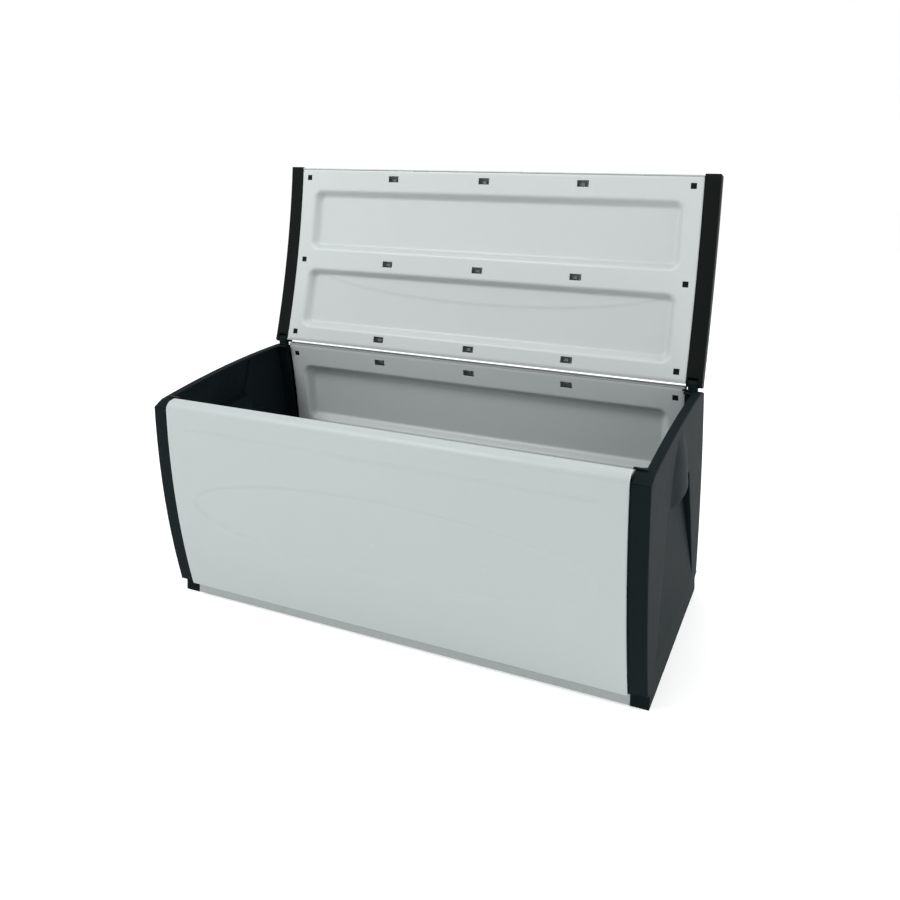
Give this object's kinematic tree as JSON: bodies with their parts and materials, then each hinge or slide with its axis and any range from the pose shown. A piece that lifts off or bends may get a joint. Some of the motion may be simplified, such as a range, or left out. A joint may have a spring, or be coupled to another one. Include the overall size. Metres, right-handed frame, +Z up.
{
  "type": "deck storage box",
  "caption": "Resin chest with bowed hollow walls, black end panels with recessed handles, and a lid that swings back on rear hinges.",
  "frame": {"origin": "on the ground at the middle of the footprint", "axes": "+X along the box's length, -Y towards the front, +Z up"},
  "size_m": [1.2276, 0.6791, 1.0076],
  "materials": {
    "end_black": "fine matte moulded grain",
    "rail_black": "satin moulded",
    "pin_black": "smooth satin",
    "panel_grey": "satin moulded, faint grain",
    "liner_grey": "satin moulded",
    "floor_grey": "satin moulded"
  },
  "bodies": {
    "box": {"right_end_panel": "end_black", "left_end_panel": "end_black", "front_panel": "panel_grey", "front_liner": "liner_grey", "back_panel": "panel_grey", "back_liner": "liner_grey", "floor_panel": "floor_grey", "corner_clips": "pin_black"},
    "lid": {"lid_panel": "panel_grey", "lid_liner": "liner_grey", "right_lid_rail": "rail_black", "left_lid_rail": "rail_black", "right_hinge_pin": "pin_black", "left_hinge_pin": "pin_black"}
  },
  "joints": [
    {"name": "lid_hinge", "type": "hinge", "parent": "box", "child": "lid", "pos_m": [0, 0.236, 0.5385], "axis": [1, 0, 0], "range_deg": [0, 108]}
  ]
}
